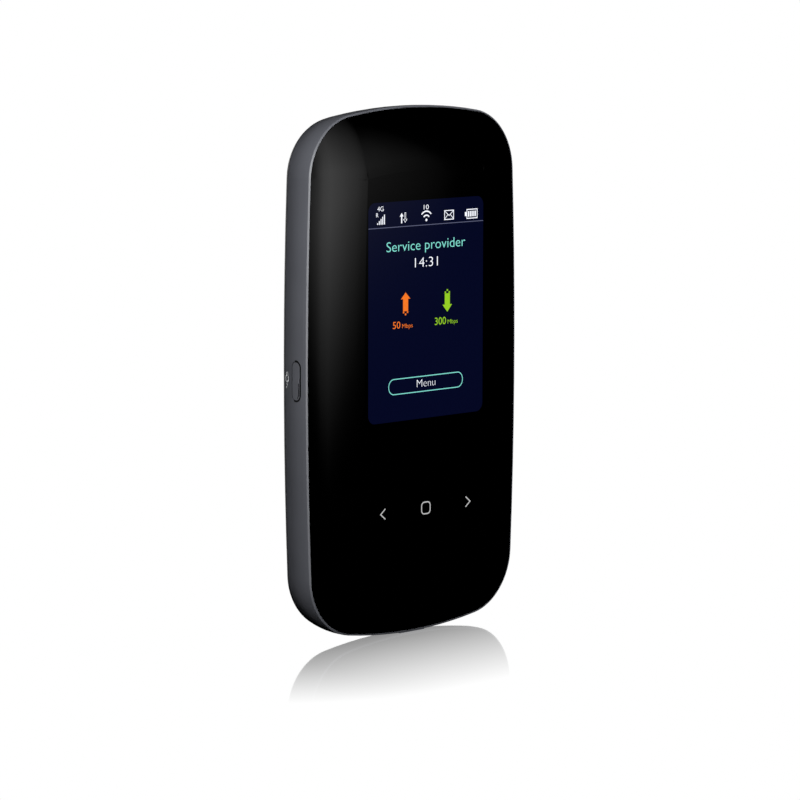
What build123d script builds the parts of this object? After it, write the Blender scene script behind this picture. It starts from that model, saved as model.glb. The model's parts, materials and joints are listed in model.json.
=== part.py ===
"""Pocket 4G router (mobile hotspot): domed glass-black front, grey side frame, removable back and battery.

Everything is modelled lying on its back: x across, y towards the top end, z up from the back cover to
the lens. The last section stands the parts upright: front towards -Y, top end towards +Z.
All lengths are millimetres.
"""

from build123d import *
import math
import os

# Driving dimensions of the body.
WIDTH = 67.0
HEIGHT = 118.8
SIDE_RADIUS = 1000.0
END_RADIUS = 132.0
CORNER_RADIUS = 14.3

# Section of the side, from the rim round the lens to the flat back.
SIDE_FLAT = 1.2
SIDE_CURVE = 22.0
SIDE_CURVE_ANGLE = 17.0
BACK_CURVE = 4.0
RIM_CHAMFER = 0.3
RIM_LIP = 0.34
RIM_Z = SIDE_FLAT + BACK_CURVE + (SIDE_CURVE - BACK_CURVE) * math.sin(math.radians(SIDE_CURVE_ANGLE))
DOME_HEIGHT = 3.84
THICKNESS = RIM_Z + DOME_HEIGHT
DOME_MARGIN = 13.6
LENS_INSET = 0.47
LENS_WALL = 0.9

# Levels above the back face.
SEAM_Z = 2.36
SEAM_GAP = 0.12
COVER_WALL = 1.1
DECK_Z = 2.7
DECK_THICK = 1.2
BAY_FLOOR_Z = 6.55
BAY_FLOOR_THICK = 0.9
BOARD_Z = 7.65
BOARD_THICK = 0.8
LEDGE_Z = 9.8
LEDGE_THICK = 0.8
PLATE_THICK = 0.4
PORT_Z = 7.0

# Insets from the outline.
FRAME_WALL = 2.5
LEDGE_INSET = 4.2
CHASSIS_INSET = 2.55
CHASSIS_STEP_INSET = 3.75
CHASSIS_STEP_Z = 4.1
BOARD_INSET = 3.2
PLATE_INSET = 2.4
SCREW_INSET = 5.8

# Low pad under the lower end that the router stands on.
FOOT_W = 7.8
FOOT_Z = (5.7, 10.1)
FOOT_OUT = 0.12
FOOT_ROOT = 0.42

# Display, a 2.4 inch panel of 3:4 shape.
SCREEN_W = 36.72
SCREEN_H = 48.96
SCREEN_Y = 14.1
PANEL_X = 21.3
PANEL_Y = (-19.3, 40.8)
GLASS_Z = (11.98, 13.12)
BACKLIGHT_Z = (10.8, 11.95)
KEY_Y = -30.8
KEY_PITCH = 13.7

# Battery.
BATTERY_X = 24.5
BATTERY_Y = (-22.0, 43.0)
BATTERY_Z = (1.35, 6.45)
BAY_GAP = 0.35

# Screws.
SCREW_R = 0.8
SCREW_HEAD_R = 1.4
SCREW_SEAT_Z = 3.8
SIDE_SCREW_Y = (16.0, -18.0)
BOSS_R = 2.0

# Port, its cover and the power button, all on the port level.
PORT_W = 7.6
PORT_H = 2.5
PORT_MOUTH_X = -32.0
PORT_DEPTH = 5.1
FLAP_W = 8.6
FLAP_H = 2.7
FLAP_GAP = 0.15
FLAP_BACK_X = -32.35
POWER_Y = 24.0
POWER_LENGTH = 10.0
POWER_HEIGHT = 2.4
POWER_FACE_X = 33.42
POWER_FLANGE_X = (29.9, 30.4)

# Reset key under the back cover.
RESET_XY = (17.0, -38.0)

# SIM socket and battery connector, below the battery bay.
SIM_X = (-20.0, -5.0)
SIM_Y = (-37.5, -23.6)
LINK_X = (4.0, 14.0)


def corner_centre():
    """Centre of the corner arc that is tangent inside both the side arc and the end arc."""
    side_x = WIDTH / 2 - SIDE_RADIUS
    end_y = HEIGHT / 2 - END_RADIUS
    to_side = SIDE_RADIUS - CORNER_RADIUS
    to_end = END_RADIUS - CORNER_RADIUS
    span = math.hypot(side_x, end_y)
    along = (to_side**2 - to_end**2 + span**2) / (2 * span)
    across = math.sqrt(to_side**2 - along**2)
    unit = (-side_x / span, end_y / span)
    return (side_x + along * unit[0] - across * unit[1], along * unit[1] + across * unit[0])


CORNER_X, CORNER_Y = corner_centre()
SIDE_ANGLE = math.degrees(math.atan2(CORNER_Y, CORNER_X - (WIDTH / 2 - SIDE_RADIUS)))
END_ANGLE = math.degrees(math.atan2(CORNER_Y - (HEIGHT / 2 - END_RADIUS), CORNER_X))


def outline_edges(inset=0.0):
    """The body's outline, or one parallel to it: bowed sides and ends joined by corner arcs."""
    side_x = WIDTH / 2 - SIDE_RADIUS
    end_y = HEIGHT / 2 - END_RADIUS
    side = SIDE_RADIUS - inset
    end = END_RADIUS - inset
    corner = CORNER_RADIUS - inset
    turn = END_ANGLE - SIDE_ANGLE
    return [
        CenterArc((side_x, 0), side, 0, SIDE_ANGLE),
        CenterArc((CORNER_X, CORNER_Y), corner, SIDE_ANGLE, turn),
        CenterArc((0, end_y), end, END_ANGLE, 180 - 2 * END_ANGLE),
        CenterArc((-CORNER_X, CORNER_Y), corner, 180 - END_ANGLE, turn),
        CenterArc((-side_x, 0), side, 180 - SIDE_ANGLE, 2 * SIDE_ANGLE),
        CenterArc((-CORNER_X, -CORNER_Y), corner, 180 + SIDE_ANGLE, turn),
        CenterArc((0, -end_y), end, 180 + END_ANGLE, 180 - 2 * END_ANGLE),
        CenterArc((CORNER_X, -CORNER_Y), corner, 360 - END_ANGLE, turn),
        CenterArc((side_x, 0), side, -SIDE_ANGLE, SIDE_ANGLE),
    ]


def slab(inset, low, high):
    """A plate of the body's outline, drawn in by inset, between two levels."""
    return Pos(0, 0, low) * extrude(make_face(outline_edges(inset)), high - low)


def swept(edges):
    """A closed section, drawn in x and z at the right side, carried once round the outline."""
    section = Plane.XZ * make_face(edges)
    return sweep(section, path=Wire(outline_edges()))


def at(inset, level):
    """A point of a section: how far in from the outline, and how high."""
    return (WIDTH / 2 - inset, level)


def lines(*points):
    """Straight edges through the points."""
    return [Line(a, b) for a, b in zip(points, points[1:])]


def block(x, y, z):
    """A box given by its limits along each axis."""
    size = (x[1] - x[0], y[1] - y[0], z[1] - z[0])
    return Pos(sum(x) / 2, sum(y) / 2, sum(z) / 2) * Box(*size)


def rounded_block(x, y, z, radius):
    """A box with rounded upright corners."""
    face = RectangleRounded(x[1] - x[0], y[1] - y[0], radius)
    return Pos(sum(x) / 2, sum(y) / 2, z[0]) * extrude(face, z[1] - z[0])


def post(centre, radius, low, high):
    """An upright cylinder."""
    return Pos(centre[0], centre[1], (low + high) / 2) * Cylinder(radius, high - low)


def side_capsule(length, height, x, y):
    """A capsule on the port level, long way along y, that runs through the limits of x."""
    face = SlotOverall(length, height)
    return Plane((x[0], y, PORT_Z), x_dir=(0, 1, 0), z_dir=(1, 0, 0)) * extrude(face, x[1] - x[0])


def ribbon(points, thick, limits):
    """A flat flexible strip that follows points in y and z, with small bends, as wide as limits in x."""
    path = FilletPolyline(*points, radius=0.4)
    section = Plane.YZ * trace(path, line_width=thick)
    return Pos(limits[0], 0, 0) * extrude(section, limits[1] - limits[0], dir=(1, 0, 0))


def screw_places():
    """Four screws in the corners and four along the sides."""
    reach = (CORNER_RADIUS - SCREW_INSET) / math.sqrt(2)
    corners = [(sx * (CORNER_X + reach), sy * (CORNER_Y + reach)) for sx in (1, -1) for sy in (1, -1)]
    sides = [(sx * (WIDTH / 2 - SCREW_INSET), y) for sx in (1, -1) for y in SIDE_SCREW_Y]
    return corners + sides


def feed_places():
    """Spring pins that join each antenna to the board, two for each."""
    return [(-14, 50), (-9, 50), (14, -50), (9, -50), (27.8, -27), (27.8, -31)]


# ---- shells ----


def side_arcs(start_level, end_level):
    """The curved outside of the body's side between two levels, from the higher to the lower."""
    upper = (WIDTH / 2 - SIDE_CURVE, RIM_Z - SIDE_FLAT)
    turn = math.radians(SIDE_CURVE_ANGLE)
    reach = SIDE_CURVE - BACK_CURVE
    lower = (upper[0] + reach * math.cos(turn), upper[1] - reach * math.sin(turn))
    last = -math.degrees(math.asin(min(1.0, (lower[1] - end_level) / BACK_CURVE)))
    if start_level >= upper[1]:
        big = CenterArc(upper, SIDE_CURVE, 0, -SIDE_CURVE_ANGLE)
        return [big, CenterArc(lower, BACK_CURVE, -SIDE_CURVE_ANGLE, last + SIDE_CURVE_ANGLE)]
    first = -math.degrees(math.asin((lower[1] - start_level) / BACK_CURVE))
    return [CenterArc(lower, BACK_CURVE, first, last - first)]


def frame_blank():
    """The side frame before anything is cut in it: outer side, rim chamfer, wall and lens ledge."""
    low = SEAM_Z + SEAM_GAP / 2
    side = side_arcs(RIM_Z - SIDE_FLAT, low)
    foot = side[-1] @ 1
    rim = lines(at(RIM_CHAMFER, RIM_Z), at(0, RIM_Z - RIM_CHAMFER), at(0, RIM_Z - SIDE_FLAT))
    ledge_low = LEDGE_Z - LEDGE_THICK
    inside = lines(
        (foot.X, foot.Y),
        at(FRAME_WALL, low),
        at(FRAME_WALL, ledge_low),
        at(LEDGE_INSET, ledge_low),
        at(LEDGE_INSET, LEDGE_Z),
        at(RIM_LIP, LEDGE_Z),
        at(RIM_LIP, RIM_Z),
        at(RIM_CHAMFER, RIM_Z),
    )
    return swept(rim + side + inside)


def front_frame():
    """Grey side frame with a low standing pad, the port pocket, the power button slot and screw lugs."""
    frame = frame_blank()
    end = -HEIGHT / 2
    frame += block((-FOOT_W / 2, FOOT_W / 2), (end - FOOT_OUT, end + FOOT_ROOT), FOOT_Z)
    for place in screw_places():
        frame += post(place, BOSS_R, BOARD_Z + BOARD_THICK, LEDGE_Z)
    for place in screw_places():
        frame -= post(place, SCREW_R + 0.02, BOARD_Z, LEDGE_Z - 0.2)
    pocket_floor = PORT_MOUTH_X - 0.05
    frame -= side_capsule(FLAP_W + 2 * FLAP_GAP, FLAP_H + 2 * FLAP_GAP, (-WIDTH, pocket_floor), 0)
    frame -= block((-WIDTH / 2, -30), (-PORT_W / 2 - 0.05, PORT_W / 2 + 0.05), port_limits(0.05))
    slot = (POWER_LENGTH + 0.24, POWER_HEIGHT + 0.24)
    frame -= side_capsule(*slot, (WIDTH / 2 - 6, WIDTH), POWER_Y)
    return frame


def port_limits(gap=0.0):
    """Lowest and highest level of the port's metal shell."""
    return (PORT_Z - PORT_H / 2 - gap, PORT_Z + PORT_H / 2 + gap)


def back_cover():
    """Removable back: a shallow tray with a locating lip, snap tabs, two ribs and a nail scoop."""
    top = SEAM_Z - SEAM_GAP / 2
    outer = side_arcs(top, 0.0)
    start = outer[0] @ 0
    lip = (FRAME_WALL + 0.15, FRAME_WALL + 1.05)
    edge = lines(
        (start.X, start.Y),
        at(lip[0], top),
        at(lip[0], 3.1),
        at(lip[1], 3.1),
        at(lip[1], COVER_WALL + 1.0),
        at(lip[1] + 1.0, COVER_WALL),
        at(12, COVER_WALL),
        at(12, 0),
    )
    end = outer[-1] @ 1
    cover = swept(edge[::-1] + outer[::-1] + [Line((end.X, end.Y), at(12, 0))])
    cover += slab(12, 0, COVER_WALL)
    tabs = slab(lip[0], 2.0, 3.95) - slab(lip[1], 2.0, 3.95)
    for y in (-34, -6, 6 + SIDE_SCREW_Y[0], 40):
        cover += tabs & block((-WIDTH, WIDTH), (y - 3, y + 3), (2.0, 3.95))
    for x in (-10, 10):
        cover += tabs & block((x - 3, x + 3), (-HEIGHT, HEIGHT), (2.0, 3.95))
    for y in (-48, 49.5):
        cover += block((-18, 18), (y - 0.4, y + 0.4), (COVER_WALL - 0.1, 1.9))
    return cover - Pos(0, -HEIGHT / 2 - 4.2, SEAM_Z) * Sphere(5.6)


def rear_chassis():
    """Black inner frame: deck under the cover, battery bay, outer wall and screw bosses."""
    deck_top = DECK_Z + DECK_THICK
    body = slab(CHASSIS_STEP_INSET, DECK_Z, CHASSIS_STEP_Z + 0.8)
    body -= slab(CHASSIS_STEP_INSET + 1.0, deck_top, CHASSIS_STEP_Z + 0.8)
    wall = slab(CHASSIS_INSET, CHASSIS_STEP_Z, BAY_FLOOR_Z + BAY_FLOOR_THICK)
    body += wall - slab(CHASSIS_INSET + 1.0, CHASSIS_STEP_Z, BAY_FLOOR_Z + BAY_FLOOR_THICK)
    shelf = slab(CHASSIS_INSET, CHASSIS_STEP_Z, CHASSIS_STEP_Z + 0.8)
    body += shelf - slab(CHASSIS_STEP_INSET + 1.0, CHASSIS_STEP_Z, CHASSIS_STEP_Z + 0.8)
    bay_x = BATTERY_X + BAY_GAP
    bay_y = (BATTERY_Y[0] - BAY_GAP, BATTERY_Y[1] + BAY_GAP)
    outer_x = (-bay_x - 1, bay_x + 1)
    outer_y = (bay_y[0] - 1, bay_y[1] + 1)
    body += rounded_block(outer_x, outer_y, (DECK_Z, BAY_FLOOR_Z + BAY_FLOOR_THICK), 2.0)
    body -= rounded_block((-bay_x, bay_x), bay_y, (DECK_Z - 1, BAY_FLOOR_Z), 1.2)
    for place in screw_places():
        body += post(place, BOSS_R, DECK_Z, BOARD_Z)
    for place in screw_places():
        body -= post(place, SCREW_R + 0.05, DECK_Z - 1, BOARD_Z + 1)
        body -= post(place, SCREW_HEAD_R + 0.1, DECK_Z - 1, SCREW_SEAT_Z)
    for place in feed_places():
        body -= post(place, 0.5, DECK_Z - 1, deck_top + 1)
    high = BOARD_Z + 1
    body -= block((-WIDTH / 2, -26.2), (-6.0, 6.0), (5.3, high))
    body -= block((26.2, WIDTH / 2), (POWER_Y - 5.95, POWER_Y + 6.0), (4.95, high))
    body -= block((SIM_X[0] + 0.5, SIM_X[1] - 0.8), (bay_y[0] - 1.5, -9), (6.3, high))
    body -= block((LINK_X[0] - 0.5, LINK_X[1] + 0.5), (bay_y[0] - 1.5, bay_y[0] + 0.1), (4.0, high))
    body -= Pos(0, bay_y[1], DECK_Z) * Sphere(6.0) & block((-9, 9), (bay_y[1] - 1, 53), (0, deck_top))
    body -= post(RESET_XY, 1.7, DECK_Z - 1, deck_top + 1)
    return body


# ---- front: lens, display and touch keys ----


def dome_centre():
    """Radius of the dome's edge arc and the level of its centre."""
    radius = (DOME_MARGIN**2 + DOME_HEIGHT**2) / (2 * DOME_HEIGHT)
    return radius, THICKNESS - radius


def dome_shell(outer_drop, inner_drop, foot):
    """A shell under the lens's front surface, between two depths below it, down to the level foot."""
    radius, level = dome_centre()
    centre = at(LENS_INSET + DOME_MARGIN, level)
    outer, inner = radius - outer_drop, radius - inner_drop
    rise = max(foot, RIM_Z) - level
    outer_turn = math.degrees(math.acos(rise / outer))
    inner_turn = math.degrees(math.acos(rise / inner))
    outer_x = centre[0] + outer * math.sin(math.radians(outer_turn))
    inner_x = centre[0] + inner * math.sin(math.radians(inner_turn))
    top = THICKNESS - outer_drop
    bottom = THICKNESS - inner_drop
    edges = [CenterArc(centre, outer, 90, -outer_turn)]
    side = [(outer_x, level + rise)]
    if foot < RIM_Z:
        side += [(outer_x, foot), (inner_x, foot)]
    side += [(inner_x, level + rise)]
    edges += lines(*side)
    edges += [CenterArc(centre, inner, 90 - inner_turn, inner_turn)]
    edges += lines((centre[0], bottom), (centre[0], top))
    return swept(edges) + slab(LENS_INSET + DOME_MARGIN, bottom, top)


def front_lens():
    """Clear moulded lens: flat over the display, falling away in a soft curve to its rim."""
    return dome_shell(0.0, LENS_WALL, LEDGE_Z + 0.2)


def lens_print():
    """Black print on the lens's inside, open over the display and over each key's mark."""
    film = dome_shell(LENS_WALL + 0.02, LENS_WALL + 0.1, RIM_Z + 0.1)
    level = (THICKNESS - 2, THICKNESS)
    half = (SCREEN_W / 2 + 0.25, SCREEN_H / 2 + 0.25)
    film -= rounded_block((-half[0], half[0]), (SCREEN_Y - half[1], SCREEN_Y + half[1]), level, 2.0)
    for x in (-KEY_PITCH, KEY_PITCH):
        film -= block((x - 0.7, x + 0.7), (KEY_Y - 1.2, KEY_Y + 1.2), level)
    return film - rounded_block((-1.5, 1.5), (KEY_Y - 1.5, KEY_Y + 1.5), level, 0.7)


def lens_adhesive():
    """Ring of double-sided tape on the frame's ledge."""
    return slab(0.6, LEDGE_Z, LEDGE_Z + 0.2) - slab(1.4, LEDGE_Z, LEDGE_Z + 0.2)


def mid_plate():
    """Thin steel plate on the ledge, which carries the display and the key board."""
    top = LEDGE_Z + PLATE_THICK
    plate = slab(PLATE_INSET, LEDGE_Z, top)
    plate -= rounded_block((-7, 7), (-22.6, -20.6), (LEDGE_Z, top), 0.6)
    plate -= rounded_block((11.6, 18.4), (-25.9, -24.3), (LEDGE_Z, top), 0.6)
    for x in (-24, 24):
        for y in (-40, -8, 8, 36):
            plate -= rounded_block((x - 1.5, x + 1.5), (y - 4, y + 4), (LEDGE_Z, top), 1.4)
    return plate


def display_bracket():
    """White plastic tray that holds the display on the mid plate, open for its flex at the low end."""
    low = LEDGE_Z + PLATE_THICK
    tray = rounded_block((-22.6, 22.6), (PANEL_Y[0] - 1.3, PANEL_Y[1] + 1.3), (low, 12.85), 1.2)
    pocket = ((-PANEL_X - 0.1, PANEL_X + 0.1), (PANEL_Y[0] - 0.1, PANEL_Y[1] + 0.1))
    tray -= block(*pocket, (BACKLIGHT_Z[0], 13))
    tray -= rounded_block((-17, 17), (-8, 34), (low - 1, 13), 3.0)
    return tray - block((-8, 8), (PANEL_Y[0] - 3, PANEL_Y[0] + 1), (low - 1, 13))


def display_backlight():
    """Light guide and reflector in their white frame."""
    return rounded_block((-PANEL_X, PANEL_X), (PANEL_Y[0] + 1.9, PANEL_Y[1]), BACKLIGHT_Z, 0.5)


def display_glass():
    """Liquid crystal cell, with its driver ledge at the low end."""
    cell = rounded_block((-PANEL_X, PANEL_X), PANEL_Y, GLASS_Z, 0.3)
    ledge = sum(GLASS_Z) / 2
    return cell - block((-PANEL_X, PANEL_X), (PANEL_Y[0], PANEL_Y[0] + 5), (ledge, GLASS_Z[1] + 1))


def display_flex():
    """Strip from the glass's ledge, through the mid plate, to the board."""
    level = GLASS_Z[0] - 0.1
    path = [(PANEL_Y[0] + 1.6, level), (-21.6, level), (-21.6, 9.55), (-22.9, 9.55)]
    return ribbon(path, 0.15, (-6, 6))


def touch_key_sheet():
    """Clear sensor film behind the three key marks, with a tail to the key board."""
    sheet = rounded_block((-19, 19.55), (KEY_Y - 5.4, KEY_Y + 5.3), (13.1, 13.25), 1.0)
    return sheet + block((19.4, 19.55), (KEY_Y - 2, KEY_Y + 2), (10.7, 13.15))


def key_light_guide():
    """Clear bar with a chimney under each key mark and a foot at each end."""
    guide = rounded_block((-17, 17), (KEY_Y - 3.4, KEY_Y + 3.4), (11.2, 12.2), 1.0)
    for x in (-KEY_PITCH, 0, KEY_PITCH):
        guide += post((x, KEY_Y), 2.6, 12.1, 13.05)
    for x in (-7, 7):
        guide += block((x - 1, x + 1), (KEY_Y - 3, KEY_Y + 3), (10.7, 11.3))
    return guide


def key_board():
    """Small board of the touch controller and the key lights."""
    return rounded_block((-18, 20.8), (KEY_Y - 4.3, KEY_Y + 4.3), (10.2, 10.7), 0.8)


def key_leds():
    """One small light under each key mark."""
    return [block((x - 0.8, x + 0.8), (KEY_Y - 0.4, KEY_Y + 0.4), (10.7, 11.15)) for x in key_xs()]


def key_xs():
    """Centres of the three keys."""
    return (-KEY_PITCH, 0, KEY_PITCH)


def key_flex():
    """Strip from the key board, through the mid plate, to the main board."""
    path = [(KEY_Y + 4.3, 10.45), (-25.1, 10.45), (-25.1, 9.55), (-23.8, 9.55)]
    return ribbon(path, 0.15, (12, 18))


# ---- electronics ----


def main_board():
    """Main circuit board, cut out round the port and the power button."""
    top = BOARD_Z + BOARD_THICK
    board = slab(BOARD_INSET, BOARD_Z, top)
    for place in screw_places():
        board -= post(place, 1.0, BOARD_Z, top)
    board -= block((-WIDTH / 2, -26.6), (-4.1, 4.1), (BOARD_Z, top))
    return board - block((29.3, WIDTH / 2), (POWER_Y - 6.2, POWER_Y + 6.2), (BOARD_Z, top))


def shield(x, y):
    """Pressed metal can with a few vent holes, standing on the board's front."""
    low = BOARD_Z + BOARD_THICK
    high = low + 1.2
    can = rounded_block(x, y, (low, high), 0.6)
    inside = ((x[0] + 0.2, x[1] - 0.2), (y[0] + 0.2, y[1] - 0.2))
    can -= rounded_block(*inside, (low - 1, high - 0.2), 0.4)
    for across in (0.2, 0.8):
        centre = (x[0] + across * (x[1] - x[0]), y[1] - 3)
        can -= post(centre, 0.6, high - 1, high + 1)
    return can


def modem_shield():
    """Can over the modem, memory and power chips."""
    return shield((-22, 8), (2, 34))


def radio_shield():
    """Can over the wireless network chip."""
    return shield((10, 24), (2, 34))


def chip(centre, size):
    """A flat moulded chip on the board's front, with its pin-one dimple."""
    low = BOARD_Z + BOARD_THICK
    half = (size[0] / 2, size[1] / 2)
    across = (centre[0] - half[0], centre[0] + half[0])
    along = (centre[1] - half[1], centre[1] + half[1])
    package = block(across, along, (low, low + 0.9))
    return package - post((centre[0] - half[0] + 1, centre[1] + half[1] - 1), 0.4, low + 0.8, low + 1)


def board_connectors():
    """Sockets for the display flex and the key flex."""
    low = BOARD_Z + BOARD_THICK
    return [
        block((-7, 7), (-25.2, -22.9), (low, low + 0.95)),
        block((11.5, 18.5), (-23.8, -21.6), (low, low + 0.95)),
    ]


def thermal_pad():
    """Soft pad between the modem's can and the mid plate."""
    return block((-17, 3), (8, 28), (BOARD_Z + BOARD_THICK + 1.2, LEDGE_Z))


def port_section(width, height, bevel):
    """The port's outline: a flat rectangle with its two corners on the back side cut off."""
    face = Rectangle(width, height)
    return chamfer(face.vertices().group_by(Axis.Y)[0], bevel)


def port_prism(width, height, bevel, x):
    """The port's outline carried along x."""
    face = port_section(width, height, bevel)
    return Plane((x[0], 0, PORT_Z), x_dir=(0, 1, 0), z_dir=(1, 0, 0)) * extrude(face, x[1] - x[0])


def usb_shell():
    """Micro connector's metal shell with a closed back and four solder wings on the board."""
    back = PORT_MOUTH_X + PORT_DEPTH
    shell = port_prism(PORT_W, PORT_H, 0.8, (PORT_MOUTH_X, back))
    shell -= port_prism(PORT_W - 0.5, PORT_H - 0.5, 0.7, (PORT_MOUTH_X - 1, back - 0.25))
    for x in (-29.6, -27.9):
        for side in (-1, 1):
            wing = sorted((side * 3.7, side * 5.3))
            shell += block((x - 0.6, x + 0.6), wing, (BOARD_Z - 0.2, BOARD_Z))
    return shell


def usb_tongue():
    """Plastic base and tongue inside the shell."""
    back = PORT_MOUTH_X + PORT_DEPTH - 0.3
    base = port_prism(PORT_W - 0.6, PORT_H - 0.6, 0.7, (back - 1.0, back))
    return base + block((PORT_MOUTH_X + 0.6, back - 0.9), (-1.8, 1.8), (PORT_Z - 0.1, PORT_Z + 0.5))


def usb_contacts():
    """Five contact strips on the tongue."""
    reach = (PORT_MOUTH_X + 0.9, PORT_MOUTH_X + PORT_DEPTH - 1.4)
    strips = [0.65 * step for step in (-2, -1, 0, 1, 2)]
    return [block(reach, (y - 0.16, y + 0.16), (PORT_Z - 0.18, PORT_Z - 0.1)) for y in strips]


def sim_socket():
    """Metal card holder on the board's back, its mouth towards the battery bay."""
    holder = block(SIM_X, SIM_Y, (6.35, BOARD_Z))
    holder -= block((SIM_X[0] + 1.1, SIM_X[1] - 1.3), (SIM_Y[0] + 1.0, SIM_Y[1] + 1), (6.62, 7.5))
    return holder - rounded_block((-16, -9), (SIM_Y[0] + 3, SIM_Y[0] + 8), (6, 6.7), 0.8)


def sim_contacts():
    """Six contact blades inside the card holder."""
    columns = (-15.2, -12.6, -10.0)
    rows = (-34.0, -28.5)
    return [block((x - 0.4, x + 0.4), (y - 1.6, y + 1.6), (7.38, 7.5)) for x in columns for y in rows]


def battery_connector():
    """Plastic block on the board's back that carries the battery springs."""
    low = BATTERY_Y[0] - BAY_GAP - 1.2
    housing = block(LINK_X, (low - 3.8, low), (4.3, BOARD_Z))
    for x in spring_xs():
        housing -= block((x - 0.6, x + 0.6), (low - 2.6, low + 1), (4.7, 6.2))
    return housing


def spring_xs():
    """Places of the four battery contacts."""
    middle = sum(LINK_X) / 2
    return [middle + 2.3 * step for step in (-1.5, -0.5, 0.5, 1.5)]


def battery_springs():
    """Four bent contact blades."""
    tip = BATTERY_Y[0] - 0.12
    blades = []
    for x in spring_xs():
        blade = block((x - 0.4, x + 0.4), (tip - 3.9, tip), (5.3, 5.55))
        blade += block((x - 0.4, x + 0.4), (tip - 0.25, tip), (4.85, 5.5))
        blades.append(blade)
    return blades


# ---- battery ----


def battery_pack():
    """Flat lithium pack in a hard case, with a pocket for its terminals."""
    x = (-BATTERY_X, BATTERY_X)
    pack = rounded_block(x, BATTERY_Y, BATTERY_Z, 1.2)
    long_edges = pack.edges().filter_by(Axis.Y)
    pack = fillet(long_edges, 0.9)
    deep = 0.12
    sleeve = (BATTERY_Y[0] + 4, BATTERY_Y[1] - 3)
    core = block((-BATTERY_X + deep, BATTERY_X - deep), sleeve, (BATTERY_Z[0] + deep, BATTERY_Z[1] - deep))
    core = fillet(core.edges().filter_by(Axis.Y), 0.8)
    pack -= block((-30, 30), sleeve, (0, 9)) - core
    for x in spring_xs():
        pack -= block((x - 0.8, x + 0.8), (BATTERY_Y[0] - 1, BATTERY_Y[0] + 0.3), (4.5, 6.0))
    return pack


def battery_wrap():
    """Printed sleeve round the pack, plain."""
    deep = 0.1
    sleeve = (BATTERY_Y[0] + 4, BATTERY_Y[1] - 3)
    outer = block((-BATTERY_X, BATTERY_X), sleeve, BATTERY_Z)
    outer = fillet(outer.edges().filter_by(Axis.Y), 0.9)
    inner = block((-BATTERY_X + deep, BATTERY_X - deep), sleeve, (BATTERY_Z[0] + deep, BATTERY_Z[1] - deep))
    return outer - fillet(inner.edges().filter_by(Axis.Y), 0.8)


def battery_terminals():
    """Four gold pads sunk in the pack's low end."""
    low = BATTERY_Y[0] + 0.15
    return [block((x - 0.75, x + 0.75), (low, low + 0.15), (4.55, 5.95)) for x in spring_xs()]


# ---- keys that travel, port cover, antennas and screws ----


def power_button():
    """Capsule button through the frame's side, with an inner flange and a nub."""
    inner = POWER_FLANGE_X[0]
    button = side_capsule(POWER_LENGTH, POWER_HEIGHT, (inner, POWER_FACE_X), POWER_Y)
    face = button.faces().sort_by(Axis.X)[-1]
    button = fillet(face.edges(), 0.3)
    button += side_capsule(POWER_LENGTH + 1.6, POWER_HEIGHT + 1.2, POWER_FLANGE_X, POWER_Y)
    return button + block((inner - 0.5, inner), (POWER_Y - 1.2, POWER_Y + 1.2), (PORT_Z - 0.5, PORT_Z + 0.5))


def power_plunger():
    """Moving nub of the power switch."""
    tip = POWER_FLANGE_X[0] - 0.52
    return block((tip - 1.6, tip), (POWER_Y - 0.9, POWER_Y + 0.9), (PORT_Z - 0.35, PORT_Z + 0.45))


def power_switch():
    """Side-push switch on the board's back, hollow for its plunger."""
    front = POWER_FLANGE_X[0] - 1.2
    body = block((front - 2.7, front), (POWER_Y - 2.3, POWER_Y + 2.3), (6.1, BOARD_Z))
    return body - block((front - 1.5, front + 1), (POWER_Y - 1.0, POWER_Y + 1.0), (PORT_Z - 0.45, PORT_Z + 0.55))


def reset_button():
    """Small round key in the deck, with a flange behind it and a stem to its switch."""
    button = post(RESET_XY, 1.6, 2.95, 4.3)
    button += post(RESET_XY, 2.2, 3.95, 4.35)
    return button + post(RESET_XY, 0.9, 4.3, 6.0)


def reset_plunger():
    """Moving nub of the reset switch."""
    return post(RESET_XY, 0.6, 6.02, 7.1)


def reset_switch():
    """Low switch on the board's back, hollow for its plunger."""
    x, y = RESET_XY
    body = block((x - 1.7, x + 1.7), (y - 1.7, y + 1.7), (6.4, BOARD_Z))
    return body - post(RESET_XY, 0.7, 6, 7.4)


def usb_cover():
    """Flexible flap that fills the port's pocket: face plate, sealing rib and a nail step."""
    plate = side_capsule(FLAP_W, FLAP_H, (-WIDTH, FLAP_BACK_X), 0)
    flap = plate & frame_blank()
    flap += block((FLAP_BACK_X - 0.2, PORT_MOUTH_X + 0.45), (-2.8, 2.4), (PORT_Z + 0.6, PORT_Z + 0.9))
    step = block((-WIDTH, -32.95), (-3.4, 0.6), (PORT_Z + FLAP_H / 2 - 0.4, PORT_Z + 2))
    return flap - step


def antenna(inner, y):
    """A thin patch on the deck between two heights, with two slots that shape its path."""
    low, high = DECK_Z - 0.15, DECK_Z
    patch = slab(inner, low, high) & block((-20, 20), y, (low, high))
    middle = sum(y) / 2
    patch -= block((-16, 6), (middle + 0.3, middle + 1.1), (low, high))
    return patch - block((-6, 16), (middle - 2.0, middle - 1.2), (low, high))


def main_antenna():
    """Cellular antenna at the low end."""
    return antenna(5.0, (-54.5, -46.0)) - post(RESET_XY, 2.5, 0, 5)


def diversity_antenna():
    """Second cellular antenna at the top end."""
    return antenna(5.0, (47.2, 54.5))


def wifi_antenna():
    """Wireless network antenna along the right side."""
    low, high = DECK_Z - 0.15, DECK_Z
    patch = block((26.4, 29.2), (-40, -22), (low, high))
    return patch - block((27.4, 28.0), (-40, -33.5), (low, high))


def antenna_feeds():
    """Sprung pins through the deck."""
    return [post(place, 0.42, DECK_Z, BOARD_Z) for place in feed_places()]


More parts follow.
